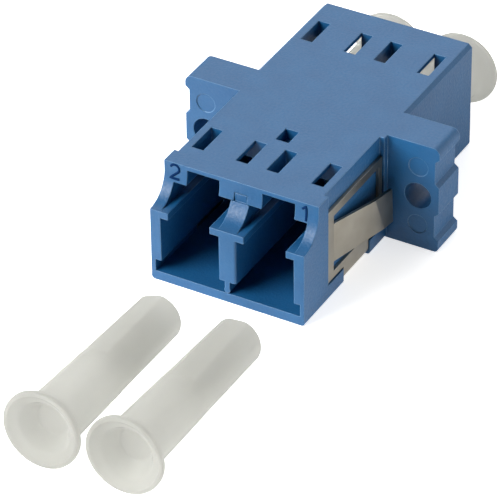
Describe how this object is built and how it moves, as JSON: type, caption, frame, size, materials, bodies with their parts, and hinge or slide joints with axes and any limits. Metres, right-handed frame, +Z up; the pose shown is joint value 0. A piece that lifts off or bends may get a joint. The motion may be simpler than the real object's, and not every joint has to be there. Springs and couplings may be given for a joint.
{
  "type": "duplex fibre optic coupler",
  "caption": "Flanged duplex fibre coupler: two keyed ports back to back, ceramic sleeves, a steel panel clip and push-in dust caps.",
  "frame": {"origin": "midway between the two panel holes, on the flange's front face", "axes": "+Y from the open front ports to the capped rear ports, +Z up, +X to the right seen from the front"},
  "size_m": [0.0216, 0.055, 0.0092],
  "materials": {
    "blue_plastic": "fine moulded satin",
    "clip_steel": "rolled stainless sheet",
    "zirconia": "ground ceramic",
    "cap_plastic": "milky translucent"
  },
  "bodies": {
    "coupler": {"housing": "blue_plastic", "front_insert": "blue_plastic", "sleeve_left": "zirconia", "sleeve_right": "zirconia", "panel_clip": "clip_steel", "loose_cap_left": "cap_plastic", "loose_cap_right": "cap_plastic"},
    "rear_cap_left": {"rear_cap_left": "cap_plastic"},
    "rear_cap_right": {"rear_cap_right": "cap_plastic"}
  },
  "joints": [
    {"name": "rear_cap_left_slide", "type": "slide", "parent": "coupler", "child": "rear_cap_left", "axis": [0, 1, 0], "range_m": [0, 0.015]},
    {"name": "rear_cap_right_slide", "type": "slide", "parent": "coupler", "child": "rear_cap_right", "axis": [0, 1, 0], "range_m": [0, 0.015]}
  ]
}
